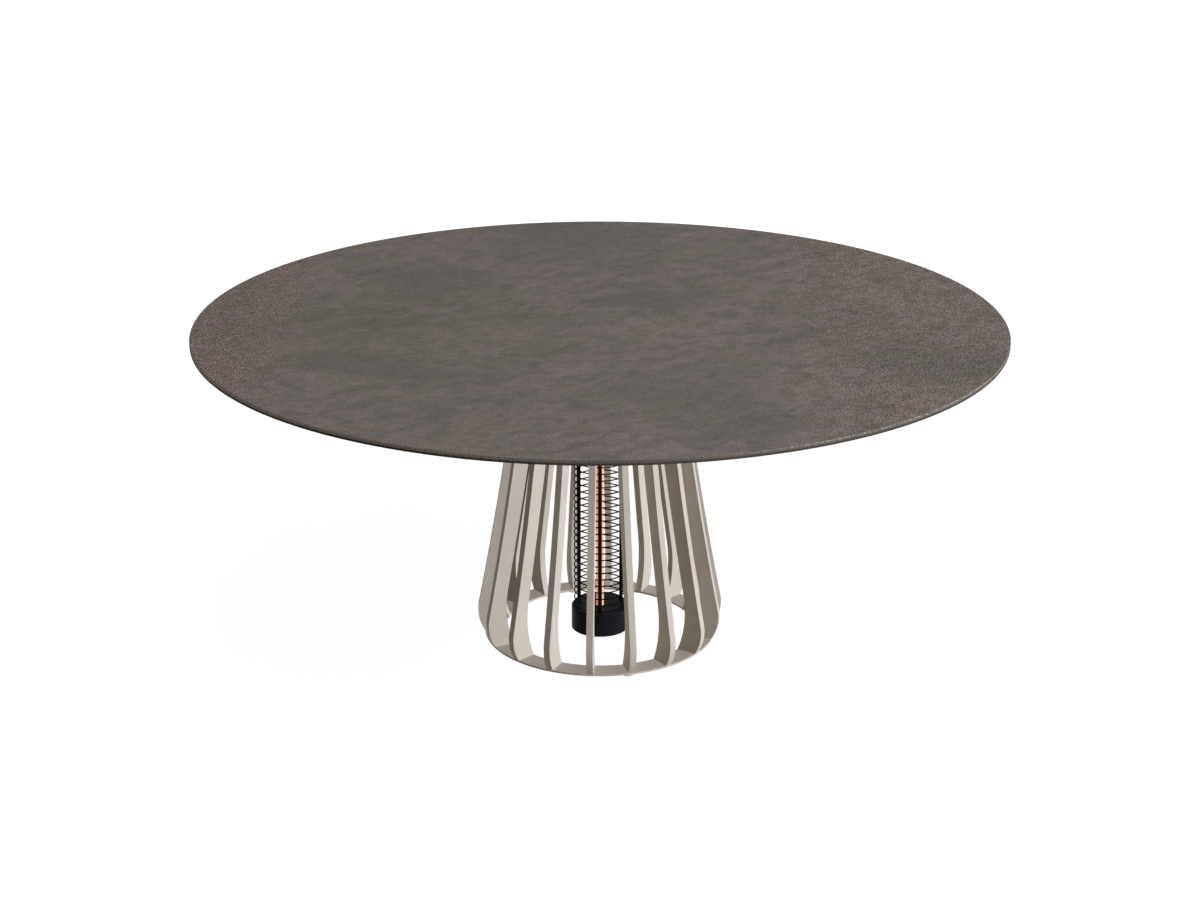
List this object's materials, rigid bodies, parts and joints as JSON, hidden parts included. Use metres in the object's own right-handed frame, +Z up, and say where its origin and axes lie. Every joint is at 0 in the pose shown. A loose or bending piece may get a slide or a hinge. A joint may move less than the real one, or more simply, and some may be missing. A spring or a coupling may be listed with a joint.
{
  "type": "round patio table with base heater",
  "caption": "Round slab table on a flared cage of upright fins over a floor ring, with a caged tube lamp heater inside and levelling feet.",
  "frame": {"origin": "on the floor, under the centre of the table", "axes": "+Z up, -Y towards the front, where one guard rod stands; +X to the right"},
  "size_m": [1.5998, 1.5998, 0.667],
  "materials": {
    "slab": "matt, fine clouded grain",
    "silicone": "matt",
    "frame_coat": "satin black",
    "fin_coat": "fine textured sand powder coat",
    "zinc": "zinc plated",
    "brass": "turned",
    "glide": "moulded",
    "heater_coat": "gloss black",
    "guard_coat": "satin black",
    "gland": "moulded",
    "ceramic": "unglazed",
    "quartz": "clear",
    "carbon": "glowing carbon"
  },
  "bodies": {
    "base": {"tabletop": "slab", "bond_pads": "silicone", "frame_arm_1": "frame_coat", "frame_arm_2": "frame_coat", "frame_arm_3": "frame_coat", "frame_arm_4": "frame_coat", "frame_arm_5": "frame_coat", "frame_arm_6": "frame_coat", "frame_bars": "frame_coat", "hub_plate": "frame_coat", "hub_bolts": "zinc", "fin_ring": "fin_coat", "top_screws": "zinc", "fin_01": "fin_coat", "fin_02": "fin_coat", "fin_03": "fin_coat", "fin_04": "fin_coat", "fin_05": "fin_coat", "fin_06": "fin_coat", "fin_07": "fin_coat", "fin_08": "fin_coat", "fin_09": "fin_coat", "fin_10": "fin_coat", "fin_11": "fin_coat", "fin_12": "fin_coat", "fin_13": "fin_coat", "fin_14": "fin_coat", "fin_15": "fin_coat", "fin_16": "fin_coat", "fin_17": "fin_coat", "fin_18": "fin_coat", "floor_ring": "fin_coat", "base_screws": "zinc", "foot_inserts": "brass", "drum_shell": "heater_coat", "drum_cover": "heater_coat", "drum_pillars": "zinc", "cover_screws": "zinc", "cable_gland": "gland", "terminal_block": "ceramic", "guard_rod_front": "guard_coat", "guard_rod_right": "guard_coat", "guard_rod_left": "guard_coat", "guard_hoops_lower": "guard_coat", "guard_hoops_upper": "guard_coat", "rod_nuts": "zinc", "lamp_glass": "quartz", "lamp_element": "carbon", "lamp_ends": "ceramic", "lamp_holders": "ceramic", "head_shell": "heater_coat", "head_screws": "zinc"},
    "foot_1": {"foot_pad_1": "glide"},
    "stud_1": {"foot_stud_1": "zinc"},
    "foot_2": {"foot_pad_2": "glide"},
    "stud_2": {"foot_stud_2": "zinc"},
    "foot_3": {"foot_pad_3": "glide"},
    "stud_3": {"foot_stud_3": "zinc"},
    "foot_4": {"foot_pad_4": "glide"},
    "stud_4": {"foot_stud_4": "zinc"}
  },
  "joints": [
    {"name": "foot_1_slide", "type": "slide", "parent": "base", "child": "foot_1", "axis": [0, 0, -1], "range_m": [0, 0.008]},
    {"name": "foot_1_turn", "type": "hinge", "parent": "foot_1", "child": "stud_1", "pos_m": [0.05663, -0.20844, 0.007], "axis": [0, 0, -1], "range_deg": [0, 2304.1]},
    {"name": "foot_2_slide", "type": "slide", "parent": "base", "child": "foot_2", "axis": [0, 0, -1], "range_m": [0, 0.008]},
    {"name": "foot_2_turn", "type": "hinge", "parent": "foot_2", "child": "stud_2", "pos_m": [0.20844, 0.05663, 0.007], "axis": [0, 0, -1], "range_deg": [0, 2304.1]},
    {"name": "foot_3_slide", "type": "slide", "parent": "base", "child": "foot_3", "axis": [0, 0, -1], "range_m": [0, 0.008]},
    {"name": "foot_3_turn", "type": "hinge", "parent": "foot_3", "child": "stud_3", "pos_m": [-0.05663, 0.20844, 0.007], "axis": [0, 0, -1], "range_deg": [0, 2304.1]},
    {"name": "foot_4_slide", "type": "slide", "parent": "base", "child": "foot_4", "axis": [0, 0, -1], "range_m": [0, 0.008]},
    {"name": "foot_4_turn", "type": "hinge", "parent": "foot_4", "child": "stud_4", "pos_m": [-0.20844, -0.05663, 0.007], "axis": [0, 0, -1], "range_deg": [0, 2304.1]}
  ],
  "couplings": [
    {"joint": "foot_1_turn", "follows": "foot_1_slide", "rad_per_m": 5026.5},
    {"joint": "foot_2_turn", "follows": "foot_2_slide", "rad_per_m": 5026.5},
    {"joint": "foot_3_turn", "follows": "foot_3_slide", "rad_per_m": 5026.5},
    {"joint": "foot_4_turn", "follows": "foot_4_slide", "rad_per_m": 5026.5}
  ]
}
